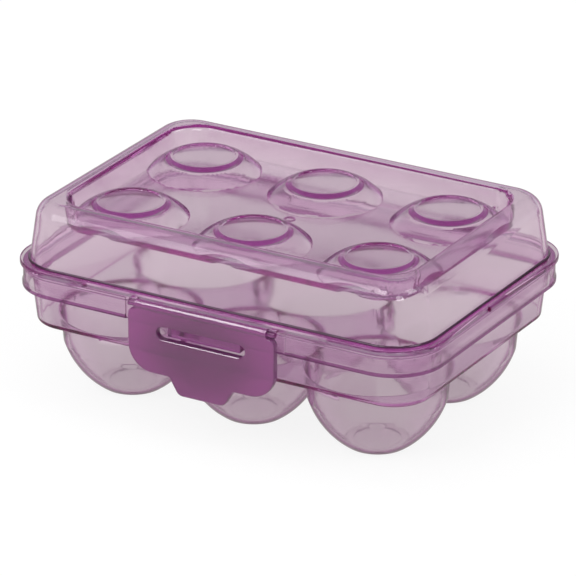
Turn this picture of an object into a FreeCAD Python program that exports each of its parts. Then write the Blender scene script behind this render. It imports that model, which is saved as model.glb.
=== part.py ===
import FreeCAD, Part
import math
import os

from FreeCAD import Vector

# An egg box for six eggs in two rows of three: a base tray with six cups, a lid with six domes
# that swings on a snap hinge at the back, and a clip on the lid that catches on the base.
# Millimetres. X runs to the right, Y to the back, Z up. The origin is the middle of the box on
# the plane its cup feet stand on.

# Egg grid and the plan outline. Every wall of the box is a rounded rectangle, and its corners
# turn about four upright axes that stand CORNER_INSET outside the corner eggs on X and on Y.
EGG_PITCH = 56.0
COLUMNS = 3
ROWS = 2
CORNER_INSET = 16.0
OUTER_EGG_X = EGG_PITCH * (COLUMNS - 1) / 2
OUTER_EGG_Y = EGG_PITCH * (ROWS - 1) / 2
CORNER_X = OUTER_EGG_X + CORNER_INSET
CORNER_Y = OUTER_EGG_Y + CORNER_INSET

# Shared wall values. Radii named ..._RADIUS of a plan outline are taken from the corner axes.
WALL = 1.6
EDGE_ROUND = 0.5
CUT_MARGIN = 1.0
BODY_GAP = 0.3

# Base tray: cups, floor, band wall, ledge and skirt. The cup walls of neighbours meet at the
# mouth, so the mouth takes its size from the pitch.
CUP_DEPTH = 31.0
CUP_MEETING = 0.7
CUP_MOUTH_RADIUS = EGG_PITCH / 2 + CUP_MEETING
CUP_MOUTH_ROUND = 2.6
CUP_SHOULDER_TAPER = 1.1
CUP_SHOULDER_DROP = 11.0
CUP_SIDE_CURVE = 37.1
CUP_FOOT_RADIUS = 12.6
CUP_BOTTOM = 1.9
FOOT_RING_WIDTH = 3.0
FOOT_RECESS_DEPTH = 0.6
FLOOR_LOW = CUP_DEPTH
FLOOR_TOP = FLOOR_LOW + WALL
FLOOR_RADIUS = 15.6
FLOOR_ROUND = 1.5
BAND_HEIGHT = 24.0
BAND_DRAFT = math.radians(6.5)
BAND_TOP_RADIUS = FLOOR_RADIUS + BAND_HEIGHT * math.tan(BAND_DRAFT)
LEDGE_WIDTH = 2.67
LEDGE_TOP = FLOOR_LOW + BAND_HEIGHT
SKIRT_HEIGHT = 9.0
SKIRT_LOW = LEDGE_TOP - SKIRT_HEIGHT
SKIRT_RADIUS = BAND_TOP_RADIUS + LEDGE_WIDTH
SKIRT_BEAD = 0.4
SKIRT_BEAD_HEIGHT = 2.2

# Lid: flange, drafted wall, rounded ridge, sunk panel and domes.
FLANGE_THICKNESS = 1.9
FLANGE_OVERHANG = 1.2
FLANGE_WIDTH = 4.0
FLANGE_LOW = LEDGE_TOP + BODY_GAP
FLANGE_TOP = FLANGE_LOW + FLANGE_THICKNESS
FLANGE_RADIUS = SKIRT_RADIUS + FLANGE_OVERHANG
LID_FOOT_RADIUS = FLANGE_RADIUS - FLANGE_WIDTH
LID_FOOT_ROUND = 1.0
LID_RISE = 24.5
LID_DRAFT = math.radians(8.4)
LID_TOP = FLANGE_TOP + LID_RISE
LID_TOP_RADIUS = LID_FOOT_RADIUS - LID_RISE * math.tan(LID_DRAFT)
LID_TOP_ROUND = 7.6
RIDGE_WIDTH = 9.4
POCKET_DEPTH = 9.7
POCKET_RADIUS = 13.0
POCKET_DRAFT = math.radians(5)
POCKET_ROUND = 2.5
POCKET_REACH = CORNER_INSET + LID_TOP_RADIUS - RIDGE_WIDTH - POCKET_RADIUS
PANEL_TOP = LID_TOP - POCKET_DEPTH
DOME_BASE_RADIUS = 23.3
DOME_RIM_RADIUS = 13.7
DOME_RISE = 6.6
DOME_SIDE_CURVE = 26.9
DOME_TOP = PANEL_TOP + DOME_RISE
DISC_LIP = 1.0
DISC_DEPTH = 0.8
GATE_RADIUS = 2.4
GATE_RING = 0.7
GATE_HEIGHT = 0.35

# Flange cut-backs: a long one at the front and the back for the hinges, and two wedges on each
# short side that leave a lifting tab between them.
CUTBACK_DEPTH = 1.6
CUTBACK_HALF_LENGTH = 54.0
WEDGE_LENGTH = 35.0
WEDGE_DEPTH = 1.5
LIFTING_TAB_HALF_WIDTH = 7.0

# Hinges: the same rod and barrel serve the clip at the front and the lid at the back.
HINGE_STANDOFF = 2.3
HINGE_DROP = 0.3
HINGE_Y = CORNER_Y + SKIRT_RADIUS + HINGE_STANDOFF
HINGE_Z = LEDGE_TOP - HINGE_DROP
ROD_RADIUS = 1.1
ROD_CLEARANCE = 0.06
BORE_RADIUS = ROD_RADIUS + ROD_CLEARANCE
BARREL_WALL = 0.74
BARREL_RADIUS = BORE_RADIUS + BARREL_WALL
BARREL_GRIP = 0.45
BARREL_MOUTH = 2 * (ROD_RADIUS - BARREL_GRIP / 2)
EAR_RIM = 0.15
EAR_RADIUS = ROD_RADIUS + EAR_RIM
EAR_LENGTH = 3.0
EAR_ARM_THICKNESS = 1.0
EAR_GAP = 0.4
BACK_HINGE_X = 45.0
BACK_BARREL_LENGTH = 14.0
GUSSET_RISE = 2.5

# Clip plate, its tab and slot, and the catch on the base. The catch stands on the band wall,
# behind the middle of the slot, and its tip stops short of the plate.
CLIP_THICKNESS = 2.8
CLIP_PROUD = 1.5
CLIP_FRONT = HINGE_Y + CLIP_PROUD
CLIP_BACK = CLIP_FRONT - CLIP_THICKNESS
CLIP_NECK_HALF_WIDTH = 29.5
CLIP_SHOULDER_WIDTH = 3.5
CLIP_HALF_WIDTH = CLIP_NECK_HALF_WIDTH + CLIP_SHOULDER_WIDTH
CLIP_SHOULDER_DROP = 1.6
CLIP_SHOULDER_ROUND = 3.0
CLIP_LENGTH = 27.7
CLIP_LOW_ROUND = 11.0
CLIP_EDGE_ROUND = 1.0
CLIP_SHOULDER = HINGE_Z - CLIP_SHOULDER_DROP
CLIP_LOW = HINGE_Z - CLIP_LENGTH
TAB_LENGTH = 7.0
TAB_ROOT_HALF_WIDTH = 14.4
TAB_ROOT_ROUND = 1.5
TAB_TAPER = 4.2
TAB_TIP_ROUND = 3.5
SLOT_HALF_LENGTH = 19.8
SLOT_HEIGHT = 5.2
SLOT_DROP = 7.2
SLOT_TOP = HINGE_Z - SLOT_DROP
SLOT_LOW = SLOT_TOP - SLOT_HEIGHT
CATCH_SIDE_CLEARANCE = 3.4
CATCH_CLEARANCE = 0.6
CATCH_HALF_LENGTH = SLOT_HALF_LENGTH - CATCH_SIDE_CLEARANCE
CATCH_LOW = SLOT_LOW + CATCH_CLEARANCE
CATCH_TOP = SLOT_TOP - CATCH_CLEARANCE
CATCH_TIP = CLIP_BACK - BODY_GAP
CATCH_ROUND = 0.4
CLIP_RECESS_MARGIN = 3.0
CLIP_RECESS_DEPTH = 0.5

ORIGIN = Vector(0, 0, 0)
X_AXIS = Vector(1, 0, 0)
Y_AXIS = Vector(0, 1, 0)
Z_AXIS = Vector(0, 0, 1)
FULL_TURN = 360
QUARTER_TURN = 90


def upright(point):
    """Take a flat (u, v) point into the XZ plane."""
    return Vector(point[0], 0, point[1])


def rounded_wire(corners):
    """Closed wire in the XZ plane through (u, v, radius) corners, each rounded by its radius."""
    ends = []
    count = len(corners)
    for index in range(count):
        here = upright(corners[index])
        radius = corners[index][2]
        if radius == 0:
            ends.append((here, None, here))
            continue
        to_last = (upright(corners[index - 1]) - here).normalize()
        to_next = (upright(corners[(index + 1) % count]) - here).normalize()
        half_angle = to_last.getAngle(to_next) / 2
        bisector = (to_last + to_next).normalize()
        reach = radius / math.tan(half_angle)
        middle = here + bisector * (radius / math.sin(half_angle) - radius)
        ends.append((here + to_last * reach, middle, here + to_next * reach))
    edges = []
    for index in range(count):
        start, middle, end = ends[index]
        following = ends[(index + 1) % count][0]
        if middle is not None:
            edges.append(Part.Arc(start, middle, end).toShape())
        if end.distanceToPoint(following) > Part.Precision.confusion():
            edges.append(Part.makeLine(end, following))
    return Part.Wire(edges)


def rounded_face(corners):
    return Part.Face(rounded_wire(corners))


def join(shapes):
    """Fuse shapes into one and merge the faces the seams divide."""
    return shapes[0].multiFuse(shapes[1:]).removeSplitter()


def swept_ring(face, reach_x, reach_y):
    """Carry an upright section round the rounded rectangle with corner axes at the reaches."""
    pieces = []
    for turn in range(4):
        across, along = (reach_x, reach_y) if turn % 2 == 0 else (reach_y, reach_x)
        side = face.translated(Vector(across, -along, 0)).extrude(Vector(0, 2 * along, 0))
        corner = face.revolve(ORIGIN, Z_AXIS, QUARTER_TURN).translated(Vector(across, along, 0))
        for piece in (side, corner):
            piece.rotate(ORIGIN, Z_AXIS, QUARTER_TURN * turn)
            pieces.append(piece)
    return pieces


def filled_block(corners, reach_x, reach_y):
    """Solid rounded block whose section starts and ends on the corner axis."""
    low = corners[0][1]
    high = corners[-1][1]
    core = Part.makeBox(2 * reach_x, 2 * reach_y, high - low, Vector(-reach_x, -reach_y, low))
    return join([core] + swept_ring(rounded_face(corners), reach_x, reach_y))


def at_each_egg(shape):
    """Copies of a shape modelled on the Z axis, one on each egg axis."""
    copies = []
    for column in range(COLUMNS):
        for row in range(ROWS):
            x = EGG_PITCH * (column - (COLUMNS - 1) / 2)
            y = EGG_PITCH * (row - (ROWS - 1) / 2)
            copies.append(shape.translated(Vector(x, y, 0)))
    return copies


def revolved(edges):
    """Solid of revolution about Z from edges of a closed section in the XZ plane."""
    return Part.Face(Part.Wire(edges)).revolve(ORIGIN, Z_AXIS, FULL_TURN)


def lines_through(points):
    return [Part.makeLine(a, b) for a, b in zip(points, points[1:])]


def bulge_centre(low, high, radius):
    """Centre of the circle through two points of the XZ plane, on the side of the Z axis."""
    middle = (low + high) / 2
    half = (high - low) / 2
    inward = Vector(-half.z, 0, half.x).normalize()
    return middle + inward * math.sqrt(radius ** 2 - half.Length ** 2)


def reach_at(centre, radius, height):
    """Distance from the Z axis of a circle's outer side at a height."""
    rise = height - centre.z
    return centre.x + math.sqrt(radius ** 2 - rise ** 2)


def bulge(centre, radius, low, high):
    """Arc of a circle's outer side between two heights, with its end points."""
    ends = [Vector(reach_at(centre, radius, z), 0, z) for z in (low, (low + high) / 2, high)]
    return Part.Arc(*ends).toShape(), ends[0], ends[-1]


def bar(half_length, y, z, radius, centre_x=0.0):
    """Round bar along X."""
    return Part.makeCylinder(radius, 2 * half_length, Vector(centre_x - half_length, y, z), X_AXIS)


def box_between(low, high):
    size = high - low
    return Part.makeBox(size.x, size.y, size.z, low)


def front_extrusion(corners, y, depth):
    """Extrude a rounded outline of the XZ plane towards the back from a depth y."""
    return rounded_face(corners).translated(Vector(0, y, 0)).extrude(Vector(0, depth, 0))


def side_extrusion(points, x, length):
    """Extrude a (y, z) polygon along X."""
    loop = [Vector(x, y, z) for y, z in points]
    return Part.Face(Part.makePolygon(loop + loop[:1])).extrude(Vector(length, 0, 0))


def plan_extrusion(points, low, high):
    """Extrude an (x, y) polygon upwards."""
    loop = [Vector(x, y, low) for x, y in points]
    return Part.Face(Part.makePolygon(loop + loop[:1])).extrude(Vector(0, 0, high - low))


def mirrored_x(shape):
    return shape.mirror(ORIGIN, X_AXIS)


def mirrored_y(shape):
    return shape.mirror(ORIGIN, Y_AXIS)


def cup_solids():
    """The outside of one cup and the space inside it, both on the Z axis."""
    shoulder_height = FLOOR_LOW - CUP_SHOULDER_DROP
    foot = Vector(CUP_FOOT_RADIUS, 0, 0)
    shoulder = Vector(CUP_MOUTH_RADIUS - CUP_SHOULDER_TAPER, 0, shoulder_height)
    centre = bulge_centre(foot, shoulder, CUP_SIDE_CURVE)
    side, foot, shoulder = bulge(centre, CUP_SIDE_CURVE, 0, shoulder_height)
    mouth = Vector(CUP_MOUTH_RADIUS, 0, FLOOR_TOP)
    axis_top = Vector(0, 0, FLOOR_TOP)
    outside = revolved([side] + lines_through([shoulder, mouth, axis_top, ORIGIN, foot]))

    in_side, in_foot, in_shoulder = bulge(centre, CUP_SIDE_CURVE - WALL, CUP_BOTTOM, shoulder_height)
    throat = Vector(CUP_MOUTH_RADIUS - WALL, 0, FLOOR_TOP - CUP_MOUTH_ROUND)
    brim = throat + Vector(CUP_MOUTH_ROUND, 0, CUP_MOUTH_ROUND)
    round_centre = throat + Vector(CUP_MOUTH_ROUND, 0, 0)
    bend = round_centre + Vector(-1, 0, 1).normalize() * CUP_MOUTH_ROUND
    brim_top = brim + Z_AXIS * CUT_MARGIN
    inside = revolved(
        [in_side,
         Part.makeLine(in_shoulder, throat),
         Part.Arc(throat, bend, brim).toShape()]
        + lines_through([brim, brim_top, Vector(0, 0, brim_top.z), Vector(0, 0, CUP_BOTTOM), in_foot]))
    return outside, inside


def base_barrel(centre_x):
    """Snap barrel on the back of the skirt, open at the top for the rod of the lid."""
    half = BACK_BARREL_LENGTH / 2
    skirt_inside = CORNER_Y + SKIRT_RADIUS - WALL
    gusset_low = SKIRT_LOW + GUSSET_RISE
    gusset = side_extrusion(
        [(skirt_inside, HINGE_Z), (skirt_inside, gusset_low), (CORNER_Y + SKIRT_RADIUS, gusset_low),
         (HINGE_Y, HINGE_Z - BARREL_RADIUS), (HINGE_Y, HINGE_Z)],
        centre_x - half, BACK_BARREL_LENGTH)
    body = join([gusset, bar(half, HINGE_Y, HINGE_Z, BARREL_RADIUS, centre_x)])
    reach = half + CUT_MARGIN
    bore = bar(reach, HINGE_Y, HINGE_Z, BORE_RADIUS, centre_x)
    mouth_top = HINGE_Z + BARREL_RADIUS + CUT_MARGIN
    mouth = box_between(
        Vector(centre_x - reach, HINGE_Y - BARREL_MOUTH / 2, HINGE_Z),
        Vector(centre_x + reach, HINGE_Y + BARREL_MOUTH / 2, mouth_top))
    return body, bore.fuse(mouth)


def base_tray():
    band_slope = math.tan(BAND_DRAFT)
    band_step = WALL / math.cos(BAND_DRAFT)
    over = LEDGE_TOP + CUT_MARGIN
    tub = filled_block(
        [(0, FLOOR_LOW, 0), (FLOOR_RADIUS, FLOOR_LOW, FLOOR_ROUND), (BAND_TOP_RADIUS, LEDGE_TOP, 0),
         (0, LEDGE_TOP, 0)], CORNER_X, CORNER_Y)
    tub_inside = filled_block(
        [(0, FLOOR_TOP, 0),
         (FLOOR_RADIUS + WALL * band_slope - band_step, FLOOR_TOP, EDGE_ROUND),
         (BAND_TOP_RADIUS + CUT_MARGIN * band_slope - band_step, over, 0), (0, over, 0)],
        CORNER_X, CORNER_Y)
    ledge_root = BAND_TOP_RADIUS - WALL
    bead_radius = SKIRT_RADIUS + SKIRT_BEAD
    rim = swept_ring(rounded_face(
        [(ledge_root, LEDGE_TOP, 0), (SKIRT_RADIUS, LEDGE_TOP, EDGE_ROUND),
         (SKIRT_RADIUS, SKIRT_LOW + SKIRT_BEAD_HEIGHT, 0),
         (bead_radius, SKIRT_LOW + SKIRT_BEAD_HEIGHT - SKIRT_BEAD, 0),
         (bead_radius, SKIRT_LOW, EDGE_ROUND), (SKIRT_RADIUS - WALL, SKIRT_LOW, 0),
         (SKIRT_RADIUS - WALL, LEDGE_TOP - WALL, EDGE_ROUND), (ledge_root, LEDGE_TOP - WALL, 0)]),
        CORNER_X, CORNER_Y)
    cup_outside, cup_inside = cup_solids()

    skirt_front = -CORNER_Y - SKIRT_RADIUS
    recess_half = CLIP_HALF_WIDTH + CLIP_RECESS_MARGIN
    recess = box_between(
        Vector(-recess_half, -HINGE_Y, SKIRT_LOW - CUT_MARGIN),
        Vector(recess_half, skirt_front + CLIP_RECESS_DEPTH, over))
    catch_root = CORNER_Y + FLOOR_RADIUS + (CATCH_LOW - FLOOR_LOW) * band_slope - WALL / 2
    catch = front_extrusion(
        [(-CATCH_HALF_LENGTH, CATCH_LOW, CATCH_ROUND), (CATCH_HALF_LENGTH, CATCH_LOW, CATCH_ROUND),
         (CATCH_HALF_LENGTH, CATCH_TOP, CATCH_ROUND), (-CATCH_HALF_LENGTH, CATCH_TOP, CATCH_ROUND)],
        -CATCH_TIP, CATCH_TIP - catch_root)
    barrels = []
    bores = []
    for centre_x in (-BACK_HINGE_X, BACK_HINGE_X):
        barrel, bore = base_barrel(centre_x)
        barrels.append(barrel)
        bores.append(bore)
    foot_recess = Part.makeCylinder(CUP_FOOT_RADIUS - FOOT_RING_WIDTH, FOOT_RECESS_DEPTH)

    shell = join([tub] + rim + at_each_egg(cup_outside))
    shell = shell.cut([tub_inside, recess] + at_each_egg(cup_inside))
    return join([shell, catch] + barrels).cut(bores + at_each_egg(foot_recess)).removeSplitter()


def dome_solid(thickness, crown):
    """One dome from below the panel to its flat crown, drawn in at the side by a thickness."""
    base = Vector(DOME_BASE_RADIUS, 0, PANEL_TOP)
    rim = Vector(DOME_RIM_RADIUS, 0, DOME_TOP)
    centre = bulge_centre(base, rim, DOME_SIDE_CURVE)
    low = PANEL_TOP - thickness
    side, low_edge, high_edge = bulge(centre, DOME_SIDE_CURVE - thickness, low, crown)
    bottom = low - CUT_MARGIN
    return revolved(
        [side] + lines_through([high_edge, Vector(0, 0, crown), Vector(0, 0, bottom),
                                Vector(low_edge.x, 0, bottom), low_edge]))


def lid_form(thickness, crown, foot, pocket_round):
    """The lid as a filled form with domes up to a crown, drawn in by a thickness."""
    top = LID_TOP - thickness
    top_radius = LID_TOP_RADIUS + thickness * math.tan(LID_DRAFT) - thickness / math.cos(LID_DRAFT)
    crest = [(top_radius, top, LID_TOP_ROUND - thickness), (0, top, 0)]
    block = filled_block(foot + crest, CORNER_X, CORNER_Y)

    floor = PANEL_TOP - thickness
    pocket_slope = math.tan(POCKET_DRAFT)
    wall_radius = POCKET_RADIUS + thickness
    floor_radius = wall_radius - (top - floor) * pocket_slope
    over = top + CUT_MARGIN
    if pocket_round:
        brim_radius = wall_radius + 2 * pocket_round
        brim = [(wall_radius, top, pocket_round), (brim_radius, top, 0), (brim_radius, over, 0)]
    else:
        brim = [(wall_radius + CUT_MARGIN * pocket_slope, over, 0)]
    sides = [(0, floor, 0), (floor_radius, floor, 0)] + brim + [(0, over, 0)]
    pocket = filled_block(sides, OUTER_EGG_X + POCKET_REACH, OUTER_EGG_Y + POCKET_REACH)
    domes = [dome.common(pocket) for dome in at_each_egg(dome_solid(thickness, crown))]
    return join([block.cut(pocket)] + domes)


def lid_ear(inner_end):
    """Front ear on the right: a lobe on the hinge axis and an arm back to the flange."""
    lobe = bar(EAR_LENGTH / 2, -HINGE_Y, HINGE_Z, EAR_RADIUS, inner_end + EAR_LENGTH / 2)
    arm = box_between(
        Vector(inner_end, -HINGE_Y, FLANGE_LOW),
        Vector(inner_end + EAR_LENGTH, -CORNER_Y - LID_FOOT_RADIUS, FLANGE_LOW + EAR_ARM_THICKNESS))
    return lobe.fuse(arm)


def lid():
    outer_foot = [(0, FLANGE_LOW, 0), (FLANGE_RADIUS, FLANGE_LOW, EDGE_ROUND),
                  (FLANGE_RADIUS, FLANGE_TOP, EDGE_ROUND), (LID_FOOT_RADIUS, FLANGE_TOP, LID_FOOT_ROUND)]
    low = FLANGE_LOW - CUT_MARGIN
    foot_spread = (FLANGE_TOP - low) * math.tan(LID_DRAFT)
    inner_foot_radius = LID_FOOT_RADIUS + foot_spread - WALL / math.cos(LID_DRAFT)
    inner_foot = [(0, low, 0), (inner_foot_radius, low, 0)]
    disc_top = DOME_TOP - DISC_DEPTH
    outside = lid_form(0.0, DOME_TOP, outer_foot, POCKET_ROUND)
    inside = lid_form(WALL, disc_top - WALL, inner_foot, 0.0)
    disc = Part.makeCylinder(DOME_RIM_RADIUS - DISC_LIP, DISC_DEPTH, Vector(0, 0, disc_top))
    gate = Part.makeCylinder(GATE_RADIUS, GATE_HEIGHT, Vector(0, 0, PANEL_TOP))
    gate = gate.cut(Part.makeCylinder(GATE_RADIUS - GATE_RING, GATE_HEIGHT, Vector(0, 0, PANEL_TOP)))

    flange_edge_y = CORNER_Y + FLANGE_RADIUS
    flange_edge_x = CORNER_X + FLANGE_RADIUS
    high = FLANGE_TOP + CUT_MARGIN
    cut_end = CUTBACK_HALF_LENGTH + CUTBACK_DEPTH
    cut_outside = -flange_edge_y - CUT_MARGIN
    long_cut = plan_extrusion(
        [(-CUTBACK_HALF_LENGTH, CUTBACK_DEPTH - flange_edge_y),
         (CUTBACK_HALF_LENGTH, CUTBACK_DEPTH - flange_edge_y),
         (cut_end, -flange_edge_y), (cut_end, cut_outside),
         (-cut_end, cut_outside), (-cut_end, -flange_edge_y)], low, high)
    wedge_start = LIFTING_TAB_HALF_WIDTH + WEDGE_LENGTH
    wedge = plan_extrusion(
        [(flange_edge_x, -wedge_start), (flange_edge_x + CUT_MARGIN, -wedge_start),
         (flange_edge_x + CUT_MARGIN, -LIFTING_TAB_HALF_WIDTH),
         (flange_edge_x - WEDGE_DEPTH, -LIFTING_TAB_HALF_WIDTH)], low, high)
    wedges = [wedge, mirrored_y(wedge), mirrored_x(wedge), mirrored_x(mirrored_y(wedge))]
    cuts = [inside, long_cut, mirrored_y(long_cut)] + wedges + at_each_egg(disc)
    shell = outside.cut(cuts)

    front_ear = lid_ear(CLIP_NECK_HALF_WIDTH + EAR_GAP)
    front_rod = bar(CLIP_NECK_HALF_WIDTH + EAR_GAP + EAR_LENGTH, -HINGE_Y, HINGE_Z, ROD_RADIUS)
    back_half = BACK_BARREL_LENGTH / 2 + EAR_GAP
    far_ear = mirrored_y(lid_ear(BACK_HINGE_X + back_half))
    near_ear = mirrored_y(lid_ear(BACK_HINGE_X - back_half - EAR_LENGTH))
    back_rod = bar(back_half + EAR_LENGTH, HINGE_Y, HINGE_Z, ROD_RADIUS, BACK_HINGE_X)
    right_side = [front_ear, far_ear, near_ear, back_rod]
    return join([shell, gate, front_rod] + right_side + [mirrored_x(shape) for shape in right_side])


def front_clip():
    right_half = [
        (TAB_ROOT_HALF_WIDTH - TAB_TAPER, CLIP_LOW - TAB_LENGTH, TAB_TIP_ROUND),
        (TAB_ROOT_HALF_WIDTH, CLIP_LOW, TAB_ROOT_ROUND),
        (CLIP_HALF_WIDTH, CLIP_LOW, CLIP_LOW_ROUND),
        (CLIP_HALF_WIDTH, CLIP_SHOULDER, CLIP_SHOULDER_ROUND),
        (CLIP_NECK_HALF_WIDTH, CLIP_SHOULDER, 0), (CLIP_NECK_HALF_WIDTH, HINGE_Z, 0)]
    left_half = [(-x, z, radius) for x, z, radius in reversed(right_half)]
    plate = front_extrusion(right_half + left_half, -CLIP_FRONT, CLIP_THICKNESS)
    slot_round = (SLOT_TOP - SLOT_LOW) / 2
    slot_end = SLOT_HALF_LENGTH - slot_round
    slot_middle = (SLOT_TOP + SLOT_LOW) / 2
    cut_start = -CLIP_FRONT - CUT_MARGIN
    cut_depth = CLIP_THICKNESS + 2 * CUT_MARGIN
    slot = [box_between(Vector(-slot_end, cut_start, SLOT_LOW),
                        Vector(slot_end, cut_start + cut_depth, SLOT_TOP))]
    for x in (-slot_end, slot_end):
        slot.append(Part.makeCylinder(slot_round, cut_depth, Vector(x, cut_start, slot_middle), Y_AXIS))
    plate = plate.cut(join(slot))
    front_face = min(plate.Faces, key=lambda face: face.CenterOfMass.y)
    below_shoulder = CLIP_SHOULDER - CLIP_SHOULDER_ROUND
    face_edges = [edge for edge in front_face.Edges if edge.CenterOfMass.z < below_shoulder]
    plate = plate.makeFillet(CLIP_EDGE_ROUND, face_edges)

    barrel = bar(CLIP_NECK_HALF_WIDTH, -HINGE_Y, HINGE_Z, BARREL_RADIUS)
    reach = CLIP_NECK_HALF_WIDTH + CUT_MARGIN
    bore = bar(reach, -HINGE_Y, HINGE_Z, BORE_RADIUS)
    mouth_back = -HINGE_Y + BARREL_RADIUS + CUT_MARGIN
    mouth = box_between(
        Vector(-reach, -HINGE_Y, HINGE_Z - BARREL_MOUTH / 2),
        Vector(reach, mouth_back, HINGE_Z + BARREL_MOUTH / 2))
    return join([plate, barrel]).cut([bore, mouth]).removeSplitter()


os.makedirs("parts", exist_ok=True)
for node, shape in (("base_tray", base_tray()), ("lid", lid()), ("front_clip", front_clip())):
    solid = shape.Solids[0]
    print(node, "solids", len(shape.Solids), "valid", shape.isValid(), "volume", round(shape.Volume, 1),
          "box", shape.BoundBox)
    solid.exportStep("parts/" + node + ".step")
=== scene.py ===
import math

import bmesh
import bpy
from mathutils import Euler, Matrix, Vector


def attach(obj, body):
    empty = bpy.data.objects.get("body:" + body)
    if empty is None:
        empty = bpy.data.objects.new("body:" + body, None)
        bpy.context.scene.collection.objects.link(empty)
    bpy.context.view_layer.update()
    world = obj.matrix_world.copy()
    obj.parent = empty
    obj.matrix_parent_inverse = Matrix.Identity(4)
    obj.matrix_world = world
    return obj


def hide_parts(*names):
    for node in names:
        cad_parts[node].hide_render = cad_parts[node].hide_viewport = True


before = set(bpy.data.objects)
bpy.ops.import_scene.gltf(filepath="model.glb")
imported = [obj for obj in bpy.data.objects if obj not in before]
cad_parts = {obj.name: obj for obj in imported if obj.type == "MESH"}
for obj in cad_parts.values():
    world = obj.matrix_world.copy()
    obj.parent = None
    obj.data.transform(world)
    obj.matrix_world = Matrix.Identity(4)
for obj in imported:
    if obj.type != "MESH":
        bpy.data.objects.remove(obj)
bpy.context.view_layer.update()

MM = 0.001

# The camera stands in front of the box, to its right and above it, with a long lens.
VIEW_AZIMUTH = math.radians(30.25)
VIEW_ELEVATION = math.radians(23.10)
VIEW_DISTANCE = 2.139
VIEW_TARGET = Vector((-0.0081, 0.0127, 0.0362))
LENS_MM = 334.7
SENSOR_MM = 36.0

# Each moulding is welded where its triangles meet and shaded smooth below an angle. Wide faces lead the shading.
WELD_DISTANCE = 0.000002
SMOOTH_ANGLE = math.radians(21)
WIDE_FACE_LEAD = 100

# A wide plane is a wall of at least this area whose faces all turn the same way.
WALL_AREA = 0.00019
WALL_TURN = 0.999998

# The turned surfaces of cups and domes are shaded evenly along rings. A ring is the corners at one radius and one
# height, and a gap in their slope parts it in two.
RING_STEP = 0.00005
RING_CORNERS = 24
RING_GAP = math.radians(8)
TURNED_LIMIT = 0.3

# Places on the box, in metres from the middle of its feet.
CUP_PITCH = 0.056
CORNER_X = 0.072
CORNER_Y = 0.044
SKIRT_INSIDE = 0.0190
SKIRT_TOP = 0.0551
BEAD_TOP = 0.0476
MOUTH_LOW = 0.0295
MOUTH_TOP = 0.0327
MOUTH_INSIDE = 0.0255
MOUTH_OUTSIDE = 0.0305
CATCH_HALF_LENGTH = 0.0166
CATCH_ROOT = -0.0640
CATCH_LOW = 0.0425
CATCH_TOP = 0.0472
FLANGE_TOP = 0.05725
LID_FOOT_TOP = 0.0583
DOME_FOOT = 0.0725
DOME_TOP = 0.0786
DOME_RADIUS = 0.0234
DOME_RIM_RADIUS = 0.0145
# Where the painted shade on the clip's plate is centred, and how far it reaches.
CLIP_MIDDLE = (0.0, -0.070, 0.039)
CLIP_REACH = (0.037, 0.100, 0.026)

# How upright a face's normal is where the face counts as level, and where it counts as the flat of a dome.
LEVEL_TILT = 0.985
DISC_TILT = 0.97

# How much painted shade darkens each place: 0 is the colour of a face and 1 is the near-black painted along an edge.
ROUND_SHADE = 0.52
SKIRT_SHADE = 0.12
BEAD_SHADE = 0.74
MOUTH_SHADE = 0.24
CATCH_SHADE = 0.80
FOOT_SHADE = 1.0
DOME_SHADE = 0.12
DOME_RIM_SHADE = 0.04
CLIP_MIDDLE_SHADE = 0.34
CLIP_FADE = 0.7

# A face is part of a small round if it is narrow, and narrower still the less it turns.
ROUND_WIDTH_MM = 0.6
ROUND_LIMIT_MM = 1.1

# Clear polystyrene, injection moulded and dyed lilac. The eye gets a hard gloss with faint ripples from the flow of the
# melt and pale see-through faces. Painted shade deepens the purple on edges and at glancing angles.
LILAC = {"face": "#fffcff", "rim": "#b255aa", "edge": "#2c0a28", "glancing": 0.9,
         "tint": "#f75cf0", "density": 56.0, "clarity": 1.0, "haze": 0.06, "skin": 0.0}

# The same plastic with far more dye, for the clip. The eye gets a cloudy magenta plate under a clear skin, bright along
# its outline, with painted shade that makes it greyer in its middle, which stands in front of the catch.
PURPLE = {"face": "#c465b8", "rim": "#703e67", "edge": "#4a1c46", "glancing": 0.15,
          "tint": "#ce4fbd", "density": 420.0, "clarity": 0.76, "haze": 0.20, "skin": 0.6}

# Both: the refraction of polystyrene, the gloss of the skin, the size and height of the flow ripples, and the size of
# the smudges in the gloss, with the range of the noise that they use.
STYRENE_IOR = 1.57
SKIN_GLOSS = 0.06
HAZE_SPREAD = 0.04
FLOW_SIZE_MM = 26.0
FLOW_DEPTH_MM = 0.010
FLOW_DETAIL = 1.0
SMUDGE_SIZE_MM = 9.0
SMUDGE_DETAIL = 4.0
SMUDGE_LOW = 0.35
SMUDGE_HIGH = 0.75

# Where the painted shade's rim colour lies between face and edge, and where its glancing angle starts and ends.
RIM_STOP = 0.6
GLANCING_START = 0.62
GLANCING_FULL = 0.80

# The stage: a floor with a faint shadow, and what clear plastic shows of it. A painted shadow darkens the floor under
# the box, and it gets lighter away from it. The walls are as light as the open floor, and the ceiling is darker.
WHITE = "#ffffff"
FLOOR_SIZE = 12.0
FLOOR_DROP = 0.0002
FLOOR_PAINT = (0.9, 0.9, 0.9, 1.0)
FLOOR_SHADOW_SHARE = 0.12
FLOOR_TONE = "#fffcf5"
SHADED_LIGHT = 0.51
SHADED_RADIUS = 0.06
OPEN_RADIUS = 0.26
WALL_LIGHT = 0.62
WALL_TOP = 0.10
CEILING_FOOT = 0.45
CEILING_LIGHT = 0.28
ROOM_LIGHT = 0.8
LIGHT_BOUNCES = 96

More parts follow.
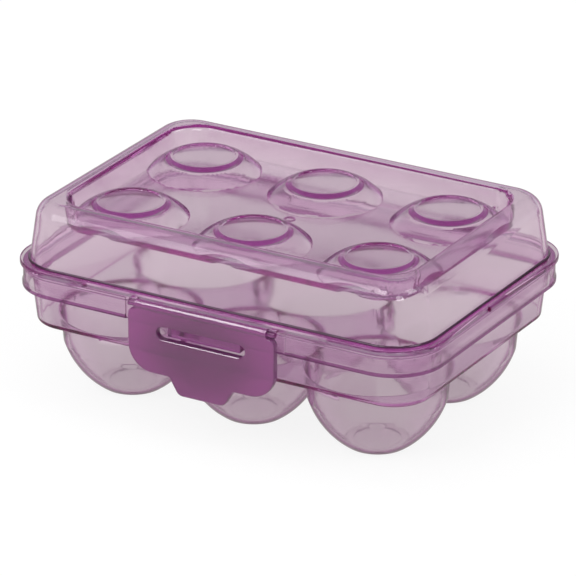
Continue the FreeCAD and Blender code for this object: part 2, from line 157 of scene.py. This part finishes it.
# Soft boxes: name, azimuth, elevation, distance, width, length, power, the line that the width lies along, whether
# gloss shows the box, and the one piece that it lights, if any.
ALONG_FRONT = (1, 0, 0)
ACROSS_CORNER = (0.766, 0.643, 0)
SOFT_BOXES = (
    ("key_lamp", -30, 65, 1.8, 2.2, 2.2, 16, ALONG_FRONT, False, None),
    ("front_box", -8, 40, 1.6, 0.6, 0.6, 5.0, ALONG_FRONT, True, None),
    ("side_box", 85, 40, 1.6, 0.6, 0.6, 5.0, ALONG_FRONT, True, None),
    ("clip_strip", -46, 50, 1.6, 0.10, 1.1, 4.0, ALONG_FRONT, True, "front_clip"),
    ("corner_box", 44, 12, 1.6, 0.45, 0.7, 5.0, ACROSS_CORNER, True, "lid"),
    ("ridge_box", -36, 36, 1.6, 0.9, 0.9, 6.0, ALONG_FRONT, True, "lid"),
)


def linear(hex_colour):
    """An sRGB hex colour as linear red, green, blue and a full alpha."""
    shades = [int(hex_colour[i:i + 2], 16) / 255 for i in (1, 3, 5)]
    spread = [s / 12.92 if s <= 0.04045 else ((s + 0.055) / 1.055) ** 2.4 for s in shades]
    return (*spread, 1.0)


def add_node(tree, kind, inputs=None, **settings):
    """Add a node with its settings, and give its sockets a value or a link."""
    node = tree.nodes.new(kind)
    for name, value in settings.items():
        setattr(node, name, value)
    for name, value in (inputs or {}).items():
        if isinstance(value, bpy.types.NodeSocket):
            tree.links.new(value, node.inputs[name])
        else:
            node.inputs[name].default_value = value
    return node


def empty_tree(owner):
    owner.use_nodes = True
    owner.node_tree.nodes.clear()
    return owner.node_tree


def marked_painted_shade(tree, place):
    """The depth of painted shade marked on a moulding's corners."""
    return add_node(tree, "ShaderNodeAttribute", attribute_name="painted_edge_shade").outputs["Fac"]


def plate_painted_shade(tree, place):
    """Painted shade on the clip's plate, which fades from its middle to none at its outline."""
    plate = add_node(tree, "ShaderNodeMapping", {"Vector": place, "Location": CLIP_MIDDLE, "Scale": CLIP_REACH},
                     vector_type="TEXTURE")
    fade = add_node(tree, "ShaderNodeTexGradient", {"Vector": plate.outputs["Vector"]}, gradient_type="SPHERICAL")
    depth = add_node(tree, "ShaderNodeMapRange",
                     {"Value": fade.outputs["Fac"], "From Max": CLIP_FADE, "To Max": CLIP_MIDDLE_SHADE},
                     interpolation_type="SMOOTHSTEP")
    return depth.outputs["Result"]


def clear_styrene(name, finish, painted_shade_nodes):
    """Injection-moulded clear styrene, with painted shade in its colour, and its gloss, ripples and tint inside."""
    material = bpy.data.materials.new(name)
    tree = empty_tree(material)
    place = add_node(tree, "ShaderNodeTexCoord").outputs["Object"]
    flow = add_node(tree, "ShaderNodeTexNoise",
                    {"Vector": place, "Scale": 1 / (FLOW_SIZE_MM * MM), "Detail": FLOW_DETAIL})
    ripple = add_node(tree, "ShaderNodeBump",
                      {"Height": flow.outputs["Fac"], "Strength": 1.0, "Distance": FLOW_DEPTH_MM * MM})
    smudge = add_node(tree, "ShaderNodeTexNoise",
                      {"Vector": place, "Scale": 1 / (SMUDGE_SIZE_MM * MM), "Detail": SMUDGE_DETAIL})
    gloss = add_node(tree, "ShaderNodeMapRange",
                     {"Value": smudge.outputs["Fac"], "From Min": SMUDGE_LOW, "From Max": SMUDGE_HIGH,
                      "To Min": finish["haze"], "To Max": finish["haze"] + HAZE_SPREAD})
    # Painted shade: the colour turns a deeper purple where the wall is seen at a glancing angle.
    facing = add_node(tree, "ShaderNodeLayerWeight", {"Blend": 0.5}).outputs["Facing"]
    glancing = add_node(tree, "ShaderNodeMapRange",
                        {"Value": facing, "From Min": GLANCING_START, "From Max": GLANCING_FULL,
                         "To Max": finish["glancing"]}, interpolation_type="SMOOTHSTEP")
    # The painted shade is the deeper of the glancing shade and the shade marked on the mesh.
    shade_depth = add_node(tree, "ShaderNodeMath", {0: glancing.outputs["Result"], 1: painted_shade_nodes(tree, place)},
                    operation="MAXIMUM")
    colour = add_node(tree, "ShaderNodeValToRGB", {"Fac": shade_depth.outputs[0]})
    colour.color_ramp.elements[0].color = linear(finish["face"])
    colour.color_ramp.elements[1].color = linear(finish["edge"])
    colour.color_ramp.elements.new(RIM_STOP).color = linear(finish["rim"])
    surface = add_node(tree, "ShaderNodeBsdfPrincipled",
                       {"Base Color": colour.outputs["Color"], "Roughness": gloss.outputs["Result"],
                        "IOR": STYRENE_IOR, "Transmission Weight": finish["clarity"],
                        "Coat Weight": finish["skin"], "Coat Roughness": SKIN_GLOSS, "Coat IOR": STYRENE_IOR,
                        "Normal": ripple.outputs["Normal"]})
    inside = add_node(tree, "ShaderNodeVolumeAbsorption",
                      {"Color": linear(finish["tint"]), "Density": finish["density"]})
    add_node(tree, "ShaderNodeOutputMaterial",
             {"Surface": surface.outputs["BSDF"], "Volume": inside.outputs["Volume"]})
    return material


def select_only(piece):
    bpy.ops.object.select_all(action="DESELECT")
    piece.select_set(True)
    bpy.context.view_layer.objects.active = piece


def moulding(name, node, body, material):
    """A welded and smooth-shaded copy of a moulded piece, which stands for it."""
    piece = bpy.data.objects.new(name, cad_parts[node].data.copy())
    bpy.context.scene.collection.objects.link(piece)
    select_only(piece)
    bpy.ops.object.mode_set(mode="EDIT")
    bpy.ops.mesh.select_all(action="SELECT")
    bpy.ops.mesh.remove_doubles(threshold=WELD_DISTANCE)
    bpy.ops.object.mode_set(mode="OBJECT")
    bpy.ops.object.shade_smooth_by_angle(angle=SMOOTH_ANGLE)
    even = piece.modifiers.new("even_shading", "WEIGHTED_NORMAL")
    even.keep_sharp = True
    even.weight = WIDE_FACE_LEAD
    bpy.ops.object.modifier_apply(modifier=even.name)
    piece.data.materials.clear()
    piece.data.materials.append(material)
    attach(piece, body)
    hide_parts(node)
    return piece


def cup_offset(place):
    """A point's offset in plan from the axis of the nearest cup and dome."""
    across = (place.x + CUP_PITCH / 2) % CUP_PITCH - CUP_PITCH / 2
    along = place.y % CUP_PITCH - CUP_PITCH / 2
    return Vector((across, along, 0))


def corner_reach(place):
    """How far a point lies outside the axes of the box's four rounded corners."""
    return math.hypot(max(abs(place.x) - CORNER_X, 0), max(abs(place.y) - CORNER_Y, 0))


def flat_walls(piece):
    """The numbers of the faces that lie in one wide plane with their neighbours."""
    work = bmesh.new()
    work.from_mesh(piece.data)
    work.faces.ensure_lookup_table()
    left = set(range(len(work.faces)))
    flat = set()
    while left:
        first = work.faces[left.pop()]
        wall = [first]
        for face in wall:
            for edge in face.edges:
                for other in edge.link_faces:
                    if other.index in left and other.normal.dot(first.normal) > WALL_TURN:
                        left.remove(other.index)
                        wall.append(other)
        if sum(face.calc_area() for face in wall) > WALL_AREA:
            flat.update(face.index for face in wall)
    work.free()
    return flat


def turn_evenly(piece):
    """Shade flat walls flat, and the round cups and domes evenly along each ring of their turned surface."""
    mesh = piece.data
    normals = [Vector(corner.vector) for corner in mesh.corner_normals]
    flat = flat_walls(piece)
    rings = {}
    for face in mesh.polygons:
        level = abs(face.normal.z) > LEVEL_TILT
        for corner in face.loop_indices:
            place = mesh.vertices[mesh.loops[corner].vertex_index].co
            offset = cup_offset(place)
            out = offset.normalized()
            if face.index in flat or level and offset.length < DOME_RADIUS:
                normals[corner] = face.normal.copy()
            elif offset.length < CUP_PITCH / 2 and abs(out.xy.cross(normals[corner].xy)) < TURNED_LIMIT:
                slope = math.atan2(normals[corner].z, normals[corner].dot(out))
                ring = (round(offset.length / RING_STEP), round(place.z / RING_STEP))
                rings.setdefault(ring, []).append((slope, corner, out))
    for ring in rings.values():
        ring.sort(key=lambda entry: entry[0])
        breaks = [i for i in range(1, len(ring)) if ring[i][0] - ring[i - 1][0] > RING_GAP]
        for first, last in zip([0] + breaks, breaks + [len(ring)]):
            if last - first < RING_CORNERS:
                continue
            slope = sum(entry[0] for entry in ring[first:last]) / (last - first)
            for _, corner, out in ring[first:last]:
                normals[corner] = out * math.cos(slope) + Vector((0, 0, math.sin(slope)))
    mesh.normals_split_custom_set(normals)


def mark_painted_shade(piece, painted_shade_at):
    """Mark painted shade on a moulding: a deeper, darker colour where the eye looks along the plastic."""
    work = bmesh.new()
    work.from_mesh(piece.data)
    flat = flat_walls(piece)
    painted_shades = []
    for face in work.faces:
        longest = max(edge.calc_length() for edge in face.edges)
        width = 2 * face.calc_area() / longest
        turn = max(edge.calc_face_angle(0.0) for edge in face.edges)
        narrow = width < ROUND_WIDTH_MM * MM and width < turn * ROUND_LIMIT_MM * MM
        rounded = narrow and face.index not in flat
        painted_shades += [painted_shade_at(loop.vert.co, face, rounded) for loop in face.loops]
    work.free()
    mark = piece.data.attributes.new("painted_edge_shade", "FLOAT", "CORNER")
    mark.data.foreach_set("value", painted_shades)


def tray_painted_shade(place, face, rounded):
    """How much painted shade darkens the catch, the mouths of the cups, the skirt, its bead and small rounds."""
    middle = face.calc_center_median()
    on_front = abs(middle.x) < CATCH_HALF_LENGTH and middle.y < CATCH_ROOT
    # Painted shade: the catch is darkened where it shows through the clip's slot.
    if on_front and CATCH_LOW < middle.z < CATCH_TOP:
        return CATCH_SHADE
    # Painted shade: the mouths of the cups darken towards their top, as outlines.
    if MOUTH_LOW < place.z < MOUTH_TOP and MOUTH_INSIDE < cup_offset(place).length < MOUTH_OUTSIDE:
        sloping = abs(face.normal.z) < LEVEL_TILT
        return MOUTH_SHADE * sloping * (place.z - MOUTH_LOW) / (MOUTH_TOP - MOUTH_LOW)
    # Painted shade: the skirt is a little darker, and its bead darker still as a dark bottom line.
    if middle.z < SKIRT_TOP and corner_reach(middle) > SKIRT_INSIDE:
        return BEAD_SHADE if middle.z < BEAD_TOP else SKIRT_SHADE
    return ROUND_SHADE * rounded


def lid_painted_shade(place, face, rounded):
    """How much painted shade darkens the foot of the lid's wall, the domes and small rounds."""
    middle = face.calc_center_median()
    # Painted shade: the rounds at the foot of the lid's wall get the darkest line.
    if FLANGE_TOP < middle.z < LID_FOOT_TOP and rounded:
        return FOOT_SHADE
    # Painted shade: a dome's disc gets a trace of it, and its shoulders turn deeper purple towards its top.
    from_axis = cup_offset(place).length
    if from_axis < DOME_RIM_RADIUS and place.z > DOME_FOOT:
        return DOME_RIM_SHADE
    shoulder = from_axis < DOME_RADIUS and abs(face.normal.z) < DISC_TILT
    if shoulder and place.z > DOME_FOOT:
        return DOME_SHADE * (place.z - DOME_FOOT) / (DOME_TOP - DOME_FOOT)
    return ROUND_SHADE * rounded


def seen_rays(tree):
    """1 for a ray that shows the stage to the camera, also by way of glass or gloss, and 0 for one that lights."""
    rays = add_node(tree, "ShaderNodeLightPath").outputs
    shiny = add_node(tree, "ShaderNodeMath", {0: rays["Is Glossy Ray"], 1: rays["Is Transmission Ray"]},
                     operation="MAXIMUM")
    seen = add_node(tree, "ShaderNodeMath", {0: rays["Is Camera Ray"], 1: shiny.outputs[0]},
                    operation="MAXIMUM")
    return seen.outputs[0]


def white_room():
    """A room that is white to the camera, with walls and a darker ceiling in glass and gloss."""
    world = bpy.data.worlds.new("white_room")
    bpy.context.scene.world = world
    tree = empty_tree(world)
    look = add_node(tree, "ShaderNodeTexCoord").outputs["Generated"]
    height = add_node(tree, "ShaderNodeSeparateXYZ", {"Vector": look}).outputs["Z"]
    wall = add_node(tree, "ShaderNodeMapRange",
                    {"Value": height, "From Min": WALL_TOP, "From Max": CEILING_FOOT,
                     "To Min": WALL_LIGHT, "To Max": CEILING_LIGHT}, interpolation_type="SMOOTHSTEP")
    straight = add_node(tree, "ShaderNodeLightPath").outputs["Is Camera Ray"]
    plain = add_node(tree, "ShaderNodeMath", {0: straight, 1: wall.outputs["Result"]}, operation="MAXIMUM")
    strength = add_node(tree, "ShaderNodeMix",
                        {"Factor": seen_rays(tree), "A": ROOM_LIGHT, "B": plain.outputs[0]})
    room = add_node(tree, "ShaderNodeBackground", {"Color": linear(WHITE), "Strength": strength.outputs[0]})
    add_node(tree, "ShaderNodeOutputWorld", {"Surface": room.outputs["Background"]})


def pale_floor():
    """A floor that is white to the camera but for a faint shadow, with a painted shadow under the box in glass and
    gloss.
    """
    bpy.ops.object.select_all(action="DESELECT")
    bpy.ops.mesh.primitive_plane_add(size=FLOOR_SIZE, location=(0, 0, -FLOOR_DROP))
    floor = bpy.context.object
    floor.name = "floor"
    material = bpy.data.materials.new("white_floor")
    tree = empty_tree(material)
    paint = add_node(tree, "ShaderNodeBsdfDiffuse", {"Color": FLOOR_PAINT})
    straight = add_node(tree, "ShaderNodeLightPath").outputs["Is Camera Ray"]
    place = add_node(tree, "ShaderNodeTexCoord").outputs["Object"]
    reach = add_node(tree, "ShaderNodeVectorMath", {0: place}, operation="LENGTH").outputs["Value"]
    # Painted shadow: the floor's glow is dimmer under the box.
    field = add_node(tree, "ShaderNodeMapRange",
                     {"Value": reach, "From Min": SHADED_RADIUS, "From Max": OPEN_RADIUS,
                      "To Min": SHADED_LIGHT, "To Max": WALL_LIGHT}, interpolation_type="SMOOTHSTEP")
    level = add_node(tree, "ShaderNodeMath", {0: straight, 1: field.outputs["Result"]}, operation="MAXIMUM")
    tone = add_node(tree, "ShaderNodeValToRGB", {"Fac": straight})
    tone.color_ramp.elements[0].color = linear(FLOOR_TONE)
    tone.color_ramp.elements[1].color = linear(WHITE)
    glow = add_node(tree, "ShaderNodeEmission", {"Color": tone.outputs["Color"], "Strength": level.outputs[0]})
    share = add_node(tree, "ShaderNodeMath", {0: seen_rays(tree), 1: 1 - FLOOR_SHADOW_SHARE},
                     operation="MULTIPLY")
    mix = add_node(tree, "ShaderNodeMixShader",
                   {"Fac": share.outputs[0], 1: paint.outputs["BSDF"], 2: glow.outputs["Emission"]})
    add_node(tree, "ShaderNodeOutputMaterial", {"Surface": mix.outputs[0]})
    floor.data.materials.append(material)


def soft_box(name, azimuth, elevation, distance, width, length, power, line, shows):
    """A lamp that faces the middle of the box, with its width along a line and its length across that."""
    a = math.radians(azimuth)
    e = math.radians(elevation)
    away = Vector((math.sin(a) * math.cos(e), -math.cos(a) * math.cos(e), math.sin(e)))
    lamp = bpy.data.lights.new(name, "AREA")
    lamp.shape = "RECTANGLE"
    lamp.size = width
    lamp.size_y = length
    lamp.energy = power
    holder = bpy.data.objects.new(name, lamp)
    bpy.context.scene.collection.objects.link(holder)
    holder.location = VIEW_TARGET + away * distance
    along = Vector(line).cross(away).normalized()
    holder.rotation_euler = Matrix((along.cross(away), along, away)).transposed().to_euler()
    holder.visible_glossy = shows
    holder.visible_transmission = False
    return holder


def light_only(holder, piece):
    """Let a lamp light one piece alone."""
    lit = bpy.data.collections.new(holder.name + "_lights")
    lit.objects.link(piece)
    holder.light_linking.receiver_collection = lit


def camera():
    lens = bpy.data.cameras.new("camera")
    lens.lens = LENS_MM
    lens.sensor_width = SENSOR_MM
    holder = bpy.data.objects.new("camera", lens)
    bpy.context.scene.collection.objects.link(holder)
    holder.rotation_euler = Euler((math.pi / 2 - VIEW_ELEVATION, 0, VIEW_AZIMUTH))
    back = holder.rotation_euler.to_matrix() @ Vector((0, 0, 1))
    holder.location = VIEW_TARGET + back * VIEW_DISTANCE
    bpy.context.scene.camera = holder


lilac = clear_styrene("clear_styrene_lilac", LILAC, marked_painted_shade)
purple = clear_styrene("clear_styrene_purple", PURPLE, plate_painted_shade)
tray = moulding("egg_tray", "base_tray", "base", lilac)
lid = moulding("domed_lid", "lid", "lid", lilac)
clip = moulding("swing_clip", "front_clip", "clip", purple)
turn_evenly(tray)
turn_evenly(lid)
mark_painted_shade(tray, tray_painted_shade)
mark_painted_shade(lid, lid_painted_shade)

white_room()
pale_floor()
lit_alone = {"lid": lid, "front_clip": clip}
for *box, only in SOFT_BOXES:
    holder = soft_box(*box)
    if only:
        light_only(holder, lit_alone[only])
camera()
bpy.context.scene.view_settings.view_transform = "Standard"
bpy.context.scene.cycles.max_bounces = LIGHT_BOUNCES
bpy.context.scene.cycles.transmission_bounces = LIGHT_BOUNCES
bpy.context.scene.cycles.glossy_bounces = LIGHT_BOUNCES
bpy.context.scene.cycles.diffuse_bounces = LIGHT_BOUNCES
